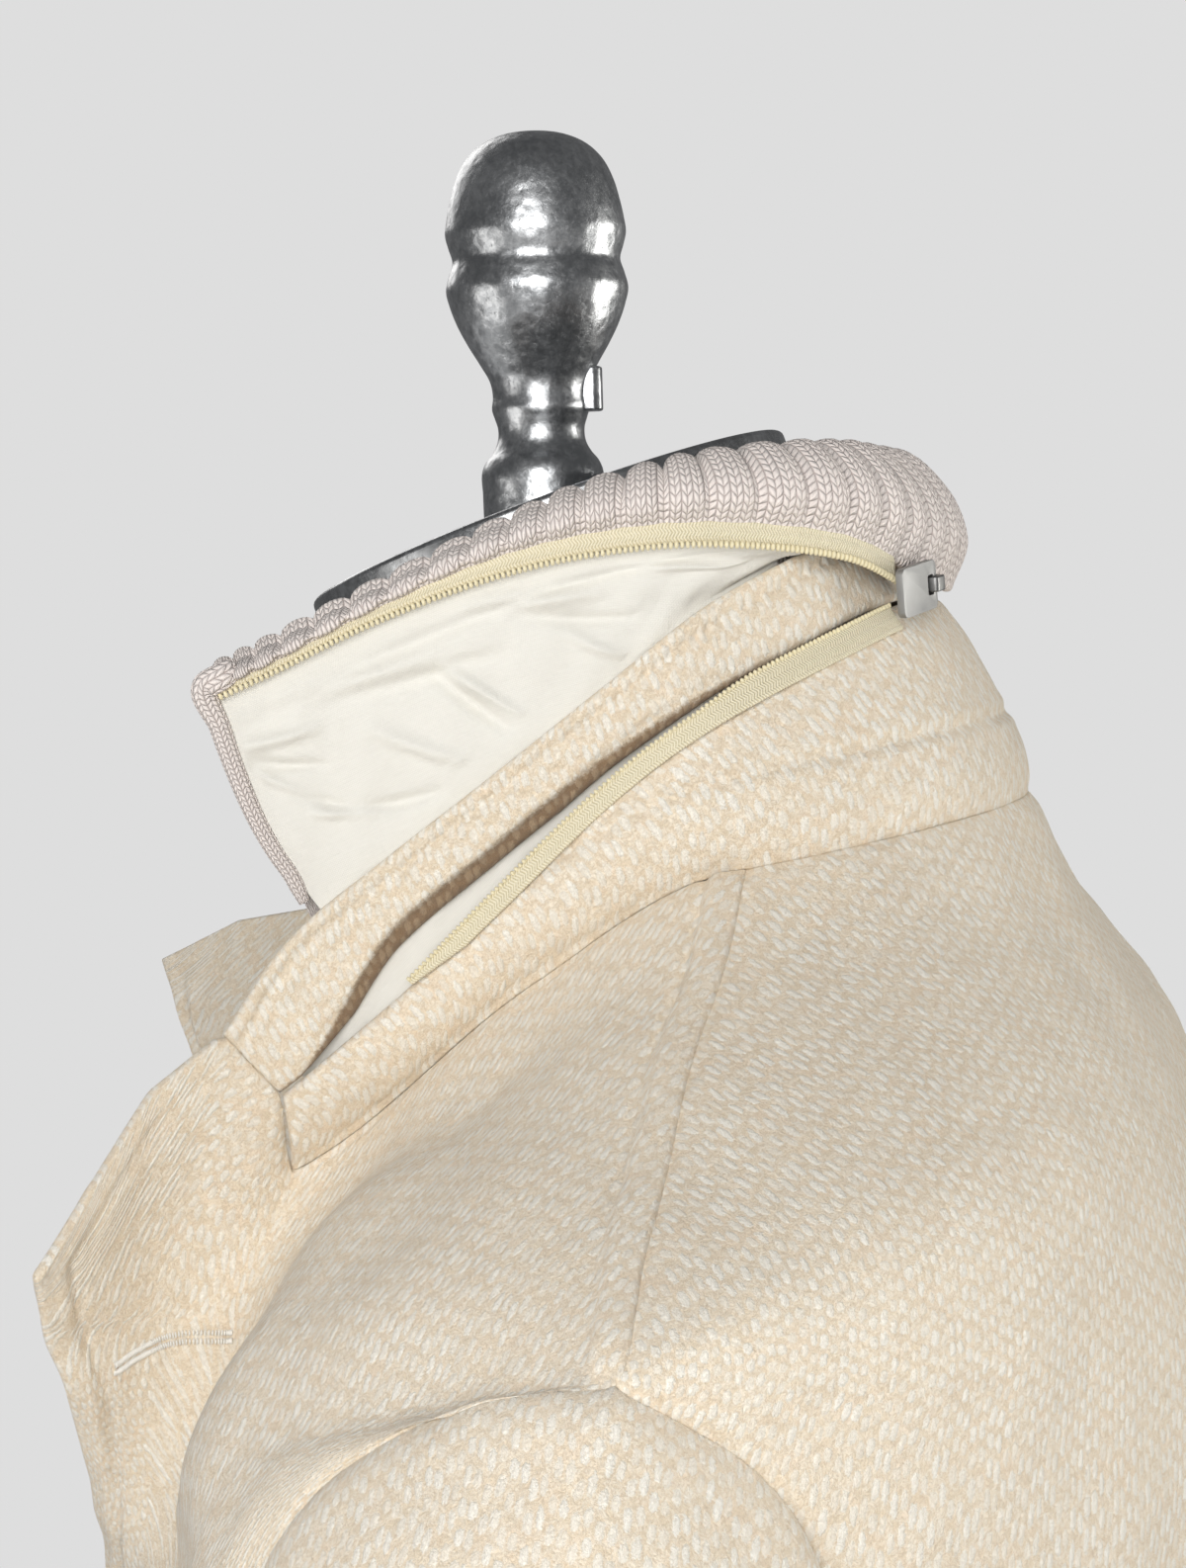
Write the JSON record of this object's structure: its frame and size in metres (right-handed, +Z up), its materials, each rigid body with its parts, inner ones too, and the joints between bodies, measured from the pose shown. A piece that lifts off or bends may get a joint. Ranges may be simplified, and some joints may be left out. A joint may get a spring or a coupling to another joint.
{
  "type": "peacoat on dress form",
  "caption": "Double-breasted wool peacoat with a zipped knit cover over its turned-up collar, worn by a limbless dress form on a pole and round base.",
  "frame": {"origin": "on the floor under the middle of the round base", "axes": "+Z up, the coat faces -Y, the wearer's left side is +X"},
  "size_m": [0.572, 0.359, 1.306],
  "materials": {
    "cream_wool": "thick twill, brushed",
    "rib_knit": "ribbed knit",
    "white_cotton": "plain weave",
    "zip_tape": "woven tape",
    "zip_metal": "polished",
    "button_horn": "satin",
    "form_linen": "plain linen",
    "cast_metal": "polished casting"
  },
  "bodies": {
    "coat": {"back": "cream_wool", "front_left": "cream_wool", "front_right": "cream_wool", "sleeve_left": "cream_wool", "sleeve_right": "cream_wool", "under_collar": "cream_wool", "collar_leaf": "cream_wool", "pocket_left": "cream_wool", "pocket_right": "cream_wool", "knit_cover": "rib_knit", "knit_binding": "rib_knit", "cover_lining": "white_cotton", "slit_facing": "white_cotton", "zip_tape_cover": "zip_tape", "zip_tape_collar": "zip_tape", "zip_slider": "zip_metal", "button_1": "button_horn", "button_2": "button_horn", "button_3": "button_horn", "button_4": "button_horn", "button_5": "button_horn", "button_6": "button_horn", "form_torso": "form_linen", "neck_plate": "cast_metal", "finial": "cast_metal", "pole": "cast_metal", "base": "cast_metal"},
    "pull": {"zip_pull": "zip_metal"}
  },
  "joints": [
    {"name": "pull_swing", "type": "hinge", "parent": "coat", "child": "pull", "pos_m": [0.03598, 0.05268, 1.1919], "axis": [0.1179, -0.0381, 0.9923], "range_deg": [0, 105]}
  ]
}
